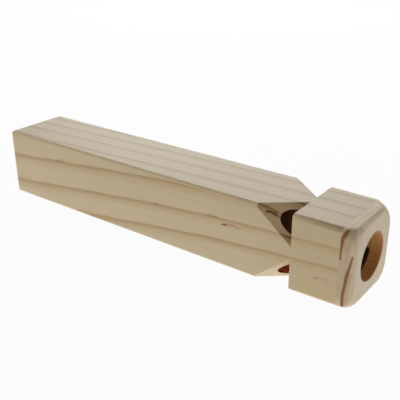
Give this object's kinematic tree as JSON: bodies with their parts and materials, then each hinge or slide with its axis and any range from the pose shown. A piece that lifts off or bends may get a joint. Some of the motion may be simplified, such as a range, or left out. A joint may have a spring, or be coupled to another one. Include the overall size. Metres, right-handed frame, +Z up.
{
  "type": "train whistle",
  "caption": "Square wooden train whistle: a drilled pine block with sloping sound notches cut across its long edges, dowel plugs inside, and a glued mouthpiece cap with a round blow hole.",
  "frame": {"origin": "middle of the underside, at the centre of the length and the width", "axes": "+X along the bores towards the mouth end, +Y across to the back, +Z up"},
  "size_m": [0.2, 0.035, 0.035],
  "materials": {
    "pine_block": "planed and sanded bare pine, fine straight grain, satin to matt",
    "pine_cap": "sanded bare pine, flat-sawn, with the front edges rounded over",
    "beech_dowel": "plain turned dowel with a planed flat, matt"
  },
  "bodies": {
    "root": {"whistle_body": "pine_block", "mouthpiece_cap": "pine_cap", "fipple_plug_top_front": "beech_dowel", "fipple_plug_bottom_front": "beech_dowel", "fipple_plug_top_back": "beech_dowel", "fipple_plug_bottom_back": "beech_dowel"}
  },
  "joints": []
}
